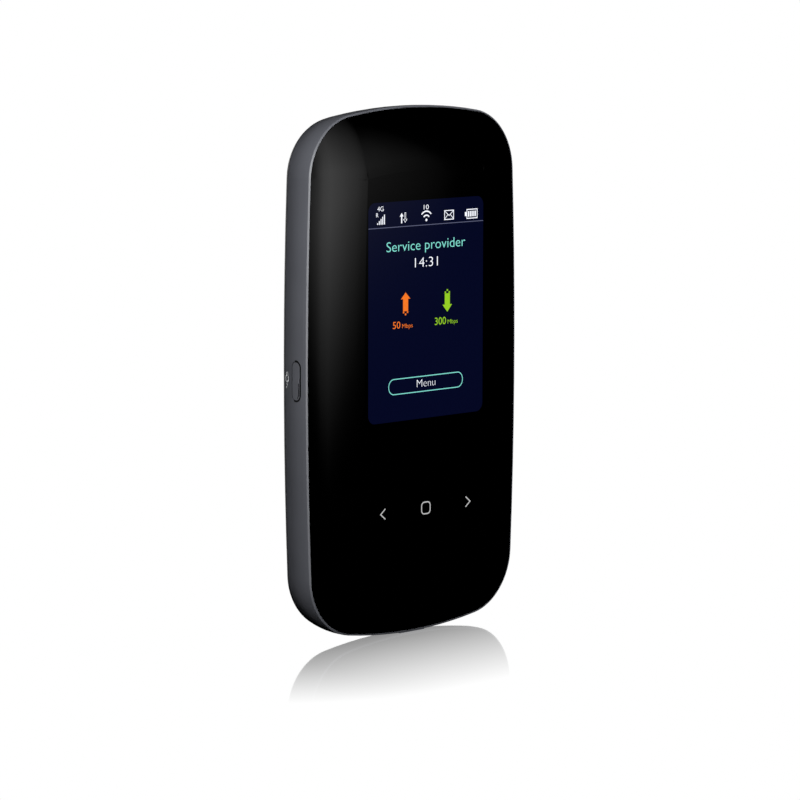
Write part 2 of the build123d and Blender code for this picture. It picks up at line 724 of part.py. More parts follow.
def chassis_screw(place):
    """Cross-head screw from the deck, through the board, into a lug of the frame."""
    head_low = SCREW_SEAT_Z - 0.85
    screw = post(place, SCREW_HEAD_R, head_low, SCREW_SEAT_Z)
    screw += post(place, SCREW_R, SCREW_SEAT_Z, LEDGE_Z - 0.35)
    for size in ((1.7, 0.35), (0.35, 1.7)):
        cross = Pos(place[0], place[1], head_low) * Box(*size, 0.8)
        screw -= cross
    return screw


# ---- writing the parts ----


def nodes():
    """Every named piece, one solid or a list of like solids."""
    return {
        "front_frame": front_frame(),
        "back_cover": back_cover(),
        "rear_chassis": rear_chassis(),
        "front_lens": front_lens(),
        "lens_print": lens_print(),
        "lens_adhesive": lens_adhesive(),
        "mid_plate": mid_plate(),
        "display_bracket": display_bracket(),
        "display_backlight": display_backlight(),
        "display_glass": display_glass(),
        "display_flex": display_flex(),
        "touch_key_sheet": touch_key_sheet(),
        "key_light_guide": key_light_guide(),
        "key_board": key_board(),
        "key_leds": key_leds(),
        "key_flex": key_flex(),
        "main_board": main_board(),
        "modem_shield": modem_shield(),
        "radio_shield": radio_shield(),
        "modem_chip": chip((-8, 14), (12, 12)),
        "memory_chip": chip((-8, 27), (10, 9)),
        "power_chip": chip((3, 9), (6, 6)),
        "wifi_chip": chip((17, 20), (7, 7)),
        "board_connectors": board_connectors(),
        "thermal_pad": thermal_pad(),
        "usb_shell": usb_shell(),
        "usb_tongue": usb_tongue(),
        "usb_contacts": usb_contacts(),
        "usb_cover": usb_cover(),
        "sim_socket": sim_socket(),
        "sim_contacts": sim_contacts(),
        "battery_connector": battery_connector(),
        "battery_springs": battery_springs(),
        "battery_pack": battery_pack(),
        "battery_wrap": battery_wrap(),
        "battery_terminals": battery_terminals(),
        "power_button": power_button(),
        "power_plunger": power_plunger(),
        "power_switch": power_switch(),
        "reset_button": reset_button(),
        "reset_plunger": reset_plunger(),
        "reset_switch": reset_switch(),
        "main_antenna": main_antenna(),
        "diversity_antenna": diversity_antenna(),
        "wifi_antenna": wifi_antenna(),
        "antenna_feeds": antenna_feeds(),
        "chassis_screws": [chassis_screw(place) for place in screw_places()],
    }


def write_parts():
    """Stands each piece upright, front towards -Y, and writes it."""
    os.makedirs("parts", exist_ok=True)
    stand = Pos(0, THICKNESS / 2, HEIGHT / 2 + FOOT_OUT) * Rot(90, 0, 0)
    for name, shape in nodes().items():
        solids = shape if isinstance(shape, list) else [shape]
        group = Compound(children=[solid for piece in solids for solid in (stand * piece).solids()])
        group.label = name
        export_step(group, f"parts/{name}.step")


write_parts()
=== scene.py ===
import json
import math

import bmesh
import bpy
from mathutils import Matrix, Vector

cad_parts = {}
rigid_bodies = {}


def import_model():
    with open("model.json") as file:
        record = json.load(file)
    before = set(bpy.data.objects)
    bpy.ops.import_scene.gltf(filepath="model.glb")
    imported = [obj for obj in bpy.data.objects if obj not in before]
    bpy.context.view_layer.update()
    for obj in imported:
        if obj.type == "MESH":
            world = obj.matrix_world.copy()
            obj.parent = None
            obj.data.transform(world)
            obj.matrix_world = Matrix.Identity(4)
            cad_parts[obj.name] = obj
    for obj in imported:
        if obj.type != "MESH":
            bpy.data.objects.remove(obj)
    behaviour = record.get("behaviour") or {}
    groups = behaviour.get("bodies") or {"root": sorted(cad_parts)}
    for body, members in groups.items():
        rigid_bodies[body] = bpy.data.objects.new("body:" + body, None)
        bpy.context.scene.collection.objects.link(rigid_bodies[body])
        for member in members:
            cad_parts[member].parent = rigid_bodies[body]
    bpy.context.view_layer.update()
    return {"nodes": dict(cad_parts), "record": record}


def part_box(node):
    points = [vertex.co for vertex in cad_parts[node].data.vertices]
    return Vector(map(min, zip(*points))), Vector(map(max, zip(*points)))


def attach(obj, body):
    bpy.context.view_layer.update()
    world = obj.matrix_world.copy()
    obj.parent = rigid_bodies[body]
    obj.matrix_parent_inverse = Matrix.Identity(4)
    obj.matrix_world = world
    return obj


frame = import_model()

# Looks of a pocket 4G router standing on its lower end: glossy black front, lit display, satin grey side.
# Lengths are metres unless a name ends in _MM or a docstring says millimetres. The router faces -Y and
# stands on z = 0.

MM = 0.001

NODES = frame["nodes"]
RECORD = frame["record"]

# Places that everything else is worked out from.
LENS_LOW, LENS_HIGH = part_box("front_lens")
GLASS_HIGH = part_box("display_glass")[1]
GUIDE_LOW, GUIDE_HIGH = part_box("key_light_guide")
FLAP_LOW, FLAP_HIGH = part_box("usb_cover")
SIDE_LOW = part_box("front_frame")[0]
FRONT = LENS_LOW.y
RIM = SIDE_LOW.y
MIDDLE = (LENS_LOW.z + LENS_HIGH.z) / 2

# The lit area of the display, and its centre.
SCREEN_W = 36.72 * MM
SCREEN_H = 48.96 * MM
SCREEN_CORNER = 2.0 * MM
SCREEN_TOP_MARGIN = 2.22 * MM
SCREEN_Z = GLASS_HIGH.z - SCREEN_TOP_MARGIN - SCREEN_H / 2
KEYS_Z = (GUIDE_LOW.z + GUIDE_HIGH.z) / 2
KEY_PITCH_MM = 13.7

# Curve of the left side seen from the front, and where the printed mark sits behind the rim.
SIDE_RADIUS = 1.0
PORT_MARK_BACK = 7.0 * MM

# The floor mirrors this share of light at the router's foot, and none beyond this reach.
FLOOR_GLOSS = 0.73
FLOOR_REACH = 0.054
FLOOR_SIDE = 0.04

# A curved soft card in front of the router, seen only as the sheen on the polished front.
CARD_RADIUS = 0.4
CARD_LOW = -0.034
CARD_FULL = 0.077
CARD_HIGH = 0.6
CARD_POWER = 1.25

# Colour of the satin side, shared by the port's flap.
SIDE_GREY = (0.052, 0.054, 0.062)

# Height of a capital letter in the built-in font at size 1.
CAPITAL = 0.73

# How far the lit area, its signs and the side's marks stand proud, and how deep they reach in.
PANEL_OUT = 0.012 * MM
SIGN_OUT = 0.02 * MM
MARK_OUT = 0.03 * MM
SINK = -0.03 * MM

# Corners of a flat mesh nearer than this are joined.
JOIN = 0.002 * MM

# Gloss and refractive index of the polished front, and how strongly plain plastic mirrors.
FRONT_IOR = 1.49
SATIN_SPECULAR = 0.3

# Widths in millimetres: painted-shade strokes in the flap's groove and nail step, and printed marks.
GROOVE_THIN_MM = 0.1
GROOVE_FRONT_SHADE_MM = 0.4
NAIL_STEP_MM = 0.2
PRINT_LINE_MM = 0.2
KEY_LINE_MM = 0.26

# Camera: where it looks, from which side, how far away, and how far off the middle the aim is.
AIM = Vector((0, FRONT + 0.2 * MM, MIDDLE))
AZIMUTH = math.radians(-45.486)
ELEVATION = math.radians(7.089)
ROLL = math.radians(0.109)
DISTANCE = 827.28 * MM
OFF_RIGHT = 5.73 * MM
OFF_UP = 6.343 * MM
LENS_MM = 166.3
SENSOR_MM = 36.0


# ---- camera, floor and light ----


def view_axes(azimuth, elevation):
    """The picture's right, its up, and the way from the object to the camera."""
    flat = math.cos(elevation)
    back = Vector((math.sin(azimuth) * flat, -math.cos(azimuth) * flat, math.sin(elevation)))
    right = (-back).cross(Vector((0, 0, 1))).normalized()
    return right, right.cross(-back), back


def turned(right, up, roll):
    """The picture's right and up after the camera has rolled."""
    c, s = math.cos(roll), math.sin(roll)
    return c * right + s * up, c * up - s * right


def make_camera():
    """The long lens that looks at the front and left side."""
    right, up, back = view_axes(AZIMUTH, ELEVATION)
    right, up = turned(right, up, ROLL)
    data = bpy.data.cameras.new("camera")
    data.lens = LENS_MM
    data.sensor_width = SENSOR_MM
    data.clip_start = 0.05
    data.clip_end = 20.0
    camera = bpy.data.objects.new("camera", data)
    bpy.context.scene.collection.objects.link(camera)
    camera.matrix_world = Matrix((right, up, back)).transposed().to_4x4()
    camera.location = AIM - OFF_RIGHT * right - OFF_UP * up + DISTANCE * back
    bpy.context.scene.camera = camera


def area_light(name, azimuth, elevation, distance, size, power, aim_z=MIDDLE, spread_angle=180):
    """A soft box at an angle round the object, facing it."""
    data = bpy.data.lights.new(name, "AREA")
    data.shape = "RECTANGLE"
    data.size, data.size_y = size
    data.energy = power
    data.spread = math.radians(spread_angle)
    light = bpy.data.objects.new(name, data)
    bpy.context.scene.collection.objects.link(light)
    back = view_axes(math.radians(azimuth), math.radians(elevation))[2]
    light.location = Vector((0, 0, aim_z)) + back * distance
    light.rotation_mode = "QUATERNION"
    light.rotation_quaternion = (-back).to_track_quat("-Z", "Y")
    light.visible_camera = False
    return light


# ---- node helpers ----


def new_material(name):
    """A node material with one Principled shader."""
    material = bpy.data.materials.new(name)
    material.use_nodes = True
    shader = next(n for n in material.node_tree.nodes if n.type == "BSDF_PRINCIPLED")
    return material, material.node_tree, shader


def add(tree, kind, **values):
    """A node with its properties set, and inputs by name where it has such an input."""
    node = tree.nodes.new(kind)
    for key, value in values.items():
        if key in node.inputs:
            node.inputs[key].default_value = value
        else:
            setattr(node, key, value)
    return node


def place(tree, stretch=(1, 1, 1)):
    """Object coordinates, stretched along the axes."""
    coords = tree.nodes.new("ShaderNodeTexCoord")
    mapping = tree.nodes.new("ShaderNodeMapping")
    mapping.inputs["Scale"].default_value = stretch
    tree.links.new(coords.outputs["Object"], mapping.inputs["Vector"])
    return mapping.outputs["Vector"]


def noise(tree, size, detail=2.0, stretch=(1, 1, 1)):
    """Noise whose lumps are about size across."""
    node = tree.nodes.new("ShaderNodeTexNoise")
    node.inputs["Scale"].default_value = 1 / size
    node.inputs["Detail"].default_value = detail
    tree.links.new(place(tree, stretch), node.inputs["Vector"])
    return node.outputs["Fac"]


def ramp(tree, source, stops):
    """Colours along a value."""
    node = tree.nodes.new("ShaderNodeValToRGB")
    first, last = node.color_ramp.elements[0], node.color_ramp.elements[-1]
    first.position, first.color = stops[0][0], (*stops[0][1], 1)
    last.position, last.color = stops[-1][0], (*stops[-1][1], 1)
    for position, colour in stops[1:-1]:
        node.color_ramp.elements.new(position).color = (*colour, 1)
    tree.links.new(source, node.inputs["Fac"])
    return node.outputs["Color"]


def spread(tree, source, low, high, out_low, out_high):
    """A value mapped from one range to another, held at the ends."""
    node = tree.nodes.new("ShaderNodeMapRange")
    for key, value in zip(("From Min", "From Max", "To Min", "To Max"), (low, high, out_low, out_high)):
        node.inputs[key].default_value = value
    tree.links.new(source, node.inputs["Value"])
    return node.outputs["Result"]


def maths(tree, operation, first, second=None):
    """One Math node; inputs are sockets or numbers."""
    node = tree.nodes.new("ShaderNodeMath")
    node.operation = operation
    for socket, value in zip(node.inputs, (first, second)):
        if value is None:
            continue
        if isinstance(value, (int, float)):
            socket.default_value = value
        else:
            tree.links.new(value, socket)
    return node.outputs[0]


def bump(tree, shader, height, strength, distance):
    """Surface relief from a height value."""
    node = tree.nodes.new("ShaderNodeBump")
    node.inputs["Strength"].default_value = strength
    node.inputs["Distance"].default_value = distance
    tree.links.new(height, node.inputs["Height"])
    tree.links.new(node.outputs["Normal"], shader.inputs["Normal"])


def to_surface(tree, node):
    """Makes a shader node the material's surface."""
    output = next(n for n in tree.nodes if n.type == "OUTPUT_MATERIAL")
    tree.links.new(node.outputs[0], output.inputs["Surface"])


def shade(colour, factor):
    """A colour made lighter or darker."""
    return tuple(c * factor for c in colour)


# ---- materials ----


def moulded(name, colour, rough, grain=0.12 * MM, depth=0.006 * MM, vary=0.12):
    """Moulded plastic: fine spark-eroded grain, slight cloudiness of colour and gloss."""
    material, tree, shader = new_material(name)
    fine = noise(tree, grain, 3.0)
    cloud = noise(tree, 9 * MM, 2.0)
    mixed = maths(tree, "ADD", maths(tree, "MULTIPLY", fine, 0.6), maths(tree, "MULTIPLY", cloud, 0.4))
    stops = [(0.3, shade(colour, 1 - vary)), (0.7, shade(colour, 1 + vary))]
    tree.links.new(ramp(tree, mixed, stops), shader.inputs["Base Color"])
    tree.links.new(spread(tree, cloud, 0.3, 0.7, rough - 0.04, rough + 0.04), shader.inputs["Roughness"])
    bump(tree, shader, fine, 0.5, depth)
    return material, tree, shader


def metal(name, colour, rough, stretch=(1, 1, 1), size=0.3 * MM, vary=0.1):
    """Sheet or plated metal with fine drawn lines or a mottled plating."""
    material, tree, shader = new_material(name)
    shader.inputs["Metallic"].default_value = 1.0
    lines = noise(tree, size, 3.0, stretch)
    tree.links.new(
        ramp(tree, lines, [(0.3, shade(colour, 1 - vary)), (0.7, shade(colour, 1 + vary))]),
        shader.inputs["Base Color"],
    )
    tree.links.new(spread(tree, lines, 0.3, 0.7, rough - 0.06, rough + 0.08), shader.inputs["Roughness"])
    bump(tree, shader, lines, 0.25, 0.01 * MM)
    return material


def side_frame():
    """Satin blue-grey plastic; painted shade darkens faces turned frontwards, like the narrow front
    bevel.
    """
    material, tree, shader = moulded("side_frame", SIDE_GREY, 0.5, depth=0.004 * MM, vary=0.07)
    shader.inputs["Specular IOR Level"].default_value = SATIN_SPECULAR
    coords = tree.nodes.new("ShaderNodeTexCoord")
    split = tree.nodes.new("ShaderNodeSeparateXYZ")
    tree.links.new(coords.outputs["Normal"], split.inputs["Vector"])
    # Painted shade: colour darkened down to 0.65 on faces turned towards the front, such as the bevel.
    painted_bevel_shade = spread(tree, split.outputs["Y"], -0.6, -0.3, 0.65, 1.0)
    grain = shader.inputs["Base Color"].links[0].from_socket
    mix = add(tree, "ShaderNodeMix", data_type="RGBA", blend_type="MULTIPLY")
    mix.inputs["Factor"].default_value = 1.0
    tree.links.new(grain, mix.inputs[6])
    tree.links.new(painted_bevel_shade, mix.inputs[7])
    tree.links.new(mix.outputs[2], shader.inputs["Base Color"])
    return material


def cover_plastic():
    """Matte black back cover with a slightly coarser grain than the side."""
    material, _, shader = moulded("cover_plastic", (0.012, 0.0122, 0.013), 0.55, 0.16 * MM, 0.008 * MM)
    shader.inputs["Specular IOR Level"].default_value = SATIN_SPECULAR
    return material


def lens_black():
    """Polished black front with the faintest unevenness in its gloss."""
    material, tree, shader = new_material("lens_black")
    shader.inputs["IOR"].default_value = FRONT_IOR
    soft = noise(tree, 22 * MM, 1.5)
    stops = [(0.3, (0.0002,) * 3), (0.7, (0.0004,) * 3)]
    tree.links.new(ramp(tree, soft, stops), shader.inputs["Base Color"])
    tree.links.new(spread(tree, soft, 0.3, 0.7, 0.05, 0.09), shader.inputs["Roughness"])
    return material


def lit(name, colour, strength):
    """Part of the display: its own light, under the same polished front."""
    material, tree, shader = new_material(name)
    shader.inputs["Base Color"].default_value = (0.001, 0.001, 0.001, 1)
    shader.inputs["IOR"].default_value = FRONT_IOR
    shader.inputs["Roughness"].default_value = 0.07
    cells = noise(tree, 0.6 * MM, 1.0)
    stops = [(0.35, shade(colour, 0.96)), (0.65, shade(colour, 1.04))]
    tree.links.new(ramp(tree, cells, stops), shader.inputs["Emission Color"])
    shader.inputs["Emission Strength"].default_value = strength
    return material


def board_green():
    """Solder mask over faint traces, with bare pads here and there."""
    material, tree, shader = new_material("board")
    cells = tree.nodes.new("ShaderNodeTexBrick")
    cells.inputs["Scale"].default_value = 1 / (3.2 * MM)
    cells.inputs["Mortar Size"].default_value = 0.05
    cells.inputs["Color1"].default_value = (0.012, 0.075, 0.04, 1)
    cells.inputs["Color2"].default_value = (0.008, 0.055, 0.03, 1)
    cells.inputs["Mortar"].default_value = (0.02, 0.13, 0.06, 1)
    turn = tree.nodes.new("ShaderNodeMapping")
    turn.inputs["Rotation"].default_value = (math.pi / 2, 0, 0)
    tree.links.new(place(tree), turn.inputs["Vector"])
    tree.links.new(turn.outputs["Vector"], cells.inputs["Vector"])
    tree.links.new(cells.outputs["Color"], shader.inputs["Base Color"])
    shader.inputs["Roughness"].default_value = 0.35
    bump(tree, shader, cells.outputs["Fac"], 0.3, 0.02 * MM)
    return material


def clear(name, colour, share):
    """Clear plastic or film, seen through in part."""
    material, tree, shader = new_material(name)
    shader.inputs["Roughness"].default_value = 0.12
    shader.inputs["Alpha"].default_value = share
    haze = noise(tree, 2 * MM, 2.0)
    tree.links.new(
        ramp(tree, haze, [(0.3, shade(colour, 0.94)), (0.7, colour)]), shader.inputs["Base Color"]
    )
    return material


def make_materials():
    """One material for each of the record's slots."""
    return {
        "side_frame": side_frame(),
        "cover_plastic": cover_plastic(),
        "inner_plastic": moulded("inner_plastic", (0.01, 0.01, 0.011), 0.55, 0.3 * MM, 0.01 * MM)[0],
        "lens_black": lens_black(),
        "print_black": moulded("print_black", (0.002, 0.002, 0.002), 0.5)[0],
        "tape": moulded("tape", (0.02, 0.02, 0.02), 0.8)[0],
        "steel": metal("steel", (0.5, 0.5, 0.51), 0.35, (1, 1, 0.05)),
        "white_plastic": moulded("white_plastic", (0.72, 0.72, 0.7), 0.4)[0],
        "light_guide": moulded("light_guide", (0.8, 0.82, 0.85), 0.3)[0],
        "display": moulded("display", (0.006, 0.008, 0.03), 0.12)[0],
        "flex": moulded("flex", (0.38, 0.16, 0.03), 0.35, 0.5 * MM)[0],
        "clear_film": clear("clear_film", (0.8, 0.85, 0.85), 0.35),
        "clear_plastic": clear("clear_plastic", (0.85, 0.88, 0.9), 0.4),
        "board": board_green(),
        "led": moulded("led", (0.8, 0.76, 0.45), 0.3)[0],
        "shield_metal": metal("shield_metal", (0.6, 0.59, 0.56), 0.34, (1, 1, 0.2)),
        "chip": moulded("chip", (0.016, 0.016, 0.017), 0.5)[0],
        "connector_plastic": moulded("connector_plastic", (0.014, 0.014, 0.014), 0.45)[0],
        "pad": moulded("pad", (0.16, 0.2, 0.27), 0.75)[0],
        "port_metal": metal("port_metal", (0.55, 0.55, 0.55), 0.28, (0.1, 1, 1)),
        "gold": metal("gold", (0.83, 0.58, 0.2), 0.25, size=1 * MM, vary=0.06),
        "flap_rubber": moulded("flap_rubber", SIDE_GREY, 0.55, depth=0.004 * MM, vary=0.07)[0],
        "battery_case": moulded("battery_case", (0.016, 0.016, 0.017), 0.42)[0],
        "battery_sleeve": moulded("battery_sleeve", (0.32, 0.33, 0.35), 0.36, 0.4 * MM)[0],
        "button_plastic": moulded("button_plastic", (0.04, 0.042, 0.048), 0.4)[0],
        "antenna_copper": metal("antenna_copper", (0.75, 0.46, 0.26), 0.34, size=3 * MM, vary=0.06),
        "screw_steel": metal("screw_steel", (0.16, 0.16, 0.17), 0.32),
    }


def paint_nodes(materials):
    """Gives every CAD node the material of its slot in the record."""
    for part in RECORD["subparts"]:
        for slot in NODES[part["node"]].material_slots:
            slot.material = materials[part["material_slot"]]


# ---- flat shapes on the front ----


def link(name, mesh, material, body="root"):
    """A piece from its mesh, with its material, riding on a body."""
    piece = bpy.data.objects.new(name, mesh)
    bpy.context.scene.collection.objects.link(piece)
    mesh.materials.clear()
    mesh.materials.append(material)
    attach(piece, body)
    return piece


def arc(centre, radius, start, end, steps=12):
    """Points along an arc, angles in degrees."""
    turn = [math.radians(start + (end - start) * i / steps) for i in range(steps + 1)]
    return [(centre[0] + radius * math.cos(t), centre[1] + radius * math.sin(t)) for t in turn]


def rounded(width, height, radius, centre=(0, 0)):
    """Outline of a rounded rectangle, anticlockwise."""
    across, along = width / 2 - radius, height / 2 - radius
    corners = [(1, 1, 0), (-1, 1, 90), (-1, -1, 180), (1, -1, 270)]
    points = []
    for sx, sy, start in corners:
        points += arc((centre[0] + sx * across, centre[1] + sy * along), radius, start, start + 90)
    return points


def box_outline(left, right, low, high):
    """Outline of an upright rectangle, anticlockwise."""
    return [(left, low), (right, low), (right, high), (left, high)]


def stroke(points, width, closed=False):
    """Quads of a line of even width with mitred corners."""
    count = len(points)
    sides = []
    for i, point in enumerate(points):
        before = points[i - 1] if closed or i else None
        after = points[(i + 1) % count] if closed or i < count - 1 else None
        ways = []
        for a, b in ((before, point), (point, after)):
            if a is not None and b is not None:
                ways.append(Vector((b[0] - a[0], b[1] - a[1])).normalized())
        mean = sum(ways, Vector((0, 0))).normalized()
        normal = Vector((-mean.y, mean.x))
        reach = width / 2 / max(0.35, mean.dot(ways[0]))
        sides.append((Vector(point) + normal * reach, Vector(point) - normal * reach))
    last = count if closed else count - 1
    quads = []
    for i in range(last):
        (a, b), (c, d) = sides[i], sides[(i + 1) % count]
        quads.append([a, b, d, c])
    return quads


def plates_mesh(name, faces, centre, low, high):
    """A closed solid for flat faces on the front, between two distances before the lens's face.

    Faces are in millimetres from the centre.
    """
    shape = bmesh.new()
    for face in faces:
        corners = [
            shape.verts.new((centre[0] + p[0] * MM, FRONT - low, centre[1] + p[1] * MM)) for p in face
        ]
        shape.faces.new(corners)
    bmesh.ops.remove_doubles(shape, verts=shape.verts, dist=JOIN)
    grown = bmesh.ops.extrude_face_region(shape, geom=shape.faces[:])
    moved = [g for g in grown["geom"] if isinstance(g, bmesh.types.BMVert)]
    bmesh.ops.translate(shape, verts=moved, vec=(0, low - high, 0))
    bmesh.ops.recalc_face_normals(shape, faces=shape.faces)
    mesh = bpy.data.meshes.new(name)
    shape.to_mesh(mesh)
    shape.free()
    return mesh


def text_mesh(name, text, height, centre, width=None, weight=0.0):
    """Letters as closed solids. height is a capital's and width the whole line's, in millimetres."""
    curve = bpy.data.curves.new(name, "FONT")
    curve.body = text
    curve.align_x = "CENTER"
    curve.extrude = 0.5
    curve.offset = weight
    curve.resolution_u = 4
    source = bpy.data.objects.new(name, curve)
    bpy.context.scene.collection.objects.link(source)
    bpy.context.view_layer.update()
    graph = bpy.context.evaluated_depsgraph_get()
    mesh = bpy.data.meshes.new_from_object(source.evaluated_get(graph))
    bpy.data.objects.remove(source)
    shape = bmesh.new()
    shape.from_mesh(mesh)
    bmesh.ops.remove_doubles(shape, verts=shape.verts, dist=0.0001)
    span = max(v.co.x for v in shape.verts) - min(v.co.x for v in shape.verts)
    middle = (max(v.co.x for v in shape.verts) + min(v.co.x for v in shape.verts)) / 2
    tall = height / CAPITAL
    wide = tall if width is None else width / span
    for vert in shape.verts:
        x, y, z = vert.co
        depth = SIGN_OUT if z > 0 else SINK
        vert.co = (
            centre[0] + (x - middle) * wide * MM,
            FRONT - depth,
            centre[1] + (y * tall - height / 2) * MM,
        )
    bmesh.ops.recalc_face_normals(shape, faces=shape.faces)
    shape.to_mesh(mesh)
    shape.free()
    return mesh


def arrow(x, low, high, head, head_width, shaft_width, up=True):
    """A plain arrow as two flat faces, pointing up or down."""
    tip, base = (high, low) if up else (low, high)
    neck = tip - head if up else tip + head
    return [
        [(x - head_width / 2, neck), (x + head_width / 2, neck), (x, tip)],
        box_outline(x - shaft_width / 2, x + shaft_width / 2, min(base, neck), max(base, neck)),
    ]


def status_faces():
    """The row of signs at the top: bars, traffic arrows, network arcs, envelope and battery."""
    faces = []
    for i in range(5):
        left = -15.62 + 0.53 * i
        faces.append(box_outline(left, left + 0.27, 19.65, 20.0 + 0.45 * i))
    faces += arrow(-7.95, 19.6, 21.9, 0.8, 1.15, 0.34)
    faces += stroke([(-6.98, 21.9), (-6.98, 20.5), (-7.36, 20.42), (-6.82, 19.75)], 0.11)
    faces += stroke([(-6.82, 19.75), (-6.28, 20.42), (-6.66, 20.5), (-6.66, 21.9), (-6.98, 21.9)], 0.11)
    for radius in (1.15, 2.05):
        faces += stroke(arc((-0.1, 19.85), radius, 42, 138), 0.3)
    faces.append(arc((-0.1, 19.95), 0.3, 0, 345, 23))
    faces += stroke(box_outline(5.75, 8.65, 19.7, 21.7), 0.18, closed=True)
    faces += stroke([(5.8, 21.6), (7.2, 20.55), (8.6, 21.6)], 0.15)
    faces += stroke([(5.8, 19.8), (6.75, 20.75)], 0.15)
    faces += stroke([(8.6, 19.8), (7.65, 20.75)], 0.15)
    faces += stroke(box_outline(13.0, 16.35, 19.6, 21.6), 0.2, closed=True)
    faces.append(box_outline(12.35, 12.86, 20.15, 21.05))
    for i in range(4):
        left = 13.38 + 0.7 * i
        faces.append(box_outline(left, left + 0.42, 19.98, 21.22))
    return faces


def dotted_tail(x, level, way):
    """Three small squares that trail behind an arrow."""
    faces = []
    for dx, step in ((-0.62, 0.25), (0.62, 0.25), (0, 0.72)):
        centre = level + way * step
        faces.append(box_outline(x + dx - 0.22, x + dx + 0.22, centre - 0.2, centre + 0.2))
    return faces


def make_display():
    """The lit area with its signs and words, flush on the polished front."""
    centre = (0, SCREEN_Z)
    navy = lit("display_navy", (0.0016, 0.0026, 0.0165), 1.0)
    white = lit("display_white", (0.78, 0.8, 0.86), 1.35)
    grey = lit("display_grey", (0.11, 0.12, 0.2), 1.0)
    teal = lit("display_teal", (0.2, 0.66, 0.58), 1.15)
    orange = lit("display_orange", (0.93, 0.19, 0.02), 1.0)
    green = lit("display_green", (0.3, 0.61, 0.02), 1.0)

    def plates(name, faces, material, out=SIGN_OUT):
        link(name, plates_mesh(name, faces, centre, SINK, out), material)

    def words(name, text, height, at, material, width=None, weight=0.0):
        spot = (centre[0] + at[0] * MM, centre[1] + at[1] * MM)
        mesh = text_mesh(name, text, height, spot, width, weight)
        link(name, mesh, material)

    outline = rounded(SCREEN_W / MM, SCREEN_H / MM, SCREEN_CORNER / MM)
    plates("display_area", [outline], navy, PANEL_OUT)
    plates("display_status_signs", status_faces(), white)
    plates("display_divider", [box_outline(-18.3, 18.3, 18.78, 18.94)], grey)
    rising = arrow(-6.66, 0.0, 4.15, 1.45, 3.0, 1.6)
    plates("display_upload_arrow", rising + dotted_tail(-6.66, 0, -1), orange)
    down = arrow(6.72, -1.05, 3.1, 1.65, 3.1, 1.65, up=False)
    plates("display_download_arrow", down + dotted_tail(6.72, 3.1, 1), green)
    plates("display_menu_frame", stroke(rounded(23.7, 3.4, 1.65, (-0.1, -16.7)), 0.2, closed=True), teal)
    words("display_4g", "4G", 1.1, (-14.6, 23.15), white, 1.95, -0.006)
    words("display_roaming", "R", 0.95, (-15.6, 21.8), white)
    words("display_users", "10", 1.1, (-0.15, 22.87), white, 1.6, -0.006)
    words("display_title", "Service provider", 2.35, (-0.1, 14.6), teal, 25.2, -0.008)
    words("display_time", "14:31", 2.3, (-0.05, 10.67), white, 7.3, -0.015)
    words("display_upload_rate", "50", 1.65, (-9.5, -2.9), orange, 2.35)
    words("display_upload_unit", "Mbps", 1.0, (-6.05, -3.25), orange, 3.35, -0.008)
    words("display_download_rate", "300", 1.75, (4.5, -2.92), green, 3.6)
    words("display_download_unit", "Mbps", 1.0, (8.5, -3.28), green, 3.3, -0.008)
    words("display_menu_word", "Menu", 1.85, (-0.05, -16.45), white, 5.9, -0.022)


def make_key_marks():
    """Printed outlines of the three touch keys: back, select and forward."""
    material = lit("key_print", (0.5, 0.5, 0.5), 1.0)
    for name, way in (("key_mark_back", -1), ("key_mark_forward", 1)):
        x = way * KEY_PITCH_MM
        points = [(x - way * 0.75, 1.17), (x + way * 0.72, 0.0), (x - way * 0.75, -1.17)]
        mesh = plates_mesh(name, stroke(points, KEY_LINE_MM), (0, KEYS_Z), SINK, SIGN_OUT)
        link(name, mesh, material)
    ring = stroke(rounded(2.75, 2.65, 0.85), KEY_LINE_MM, closed=True)
    mesh = plates_mesh("key_mark_select", ring, (0, KEYS_Z), SINK, SIGN_OUT)
    link("key_mark_select", mesh, material)


# ---- marks on the left side ----


def side_depth(y, z):
    """How far out the left side stands at a place near the port, from the frame beside the flap."""
    beside = FLAP_HIGH.z + 1.5 * MM
    hit = NODES["front_frame"].ray_cast(Vector((2 * SIDE_LOW.x, y, beside)), Vector((1, 0, 0)))
    middle = (FLAP_LOW.z + FLAP_HIGH.z) / 2
    return hit[1].x - ((beside - middle) ** 2 - (z - middle) ** 2) / (2 * SIDE_RADIUS)


def side_mesh(name, faces, centre, low, high):
    """A closed solid for faces laid on the left side, given as (towards the back, up) in millimetres."""
    shape = bmesh.new()
    for face in faces:
        corners = []
        for along, up in face:
            y, z = centre[0] + along * MM, centre[1] + up * MM
            corners.append(shape.verts.new((side_depth(y, z) - low, y, z)))
        shape.faces.new(corners)
    bmesh.ops.remove_doubles(shape, verts=shape.verts, dist=JOIN)
    grown = bmesh.ops.extrude_face_region(shape, geom=shape.faces[:])
    moved = [g for g in grown["geom"] if isinstance(g, bmesh.types.BMVert)]
    bmesh.ops.translate(shape, verts=moved, vec=(low - high, 0, 0))
    bmesh.ops.recalc_face_normals(shape, faces=shape.faces)
    mesh = bpy.data.meshes.new(name)
    shape.to_mesh(mesh)
    shape.free()
    return mesh


def subdivided(points, step=0.25):
    """The same line with points at most a step apart."""
    dense = [points[0]]
    for a, b in zip(points, points[1:]):
        count = max(1, math.ceil(math.dist(a, b) / step))
        for i in range(1, count + 1):
            dense.append((a[0] + (b[0] - a[0]) * i / count, a[1] + (b[1] - a[1]) * i / count))
    return dense


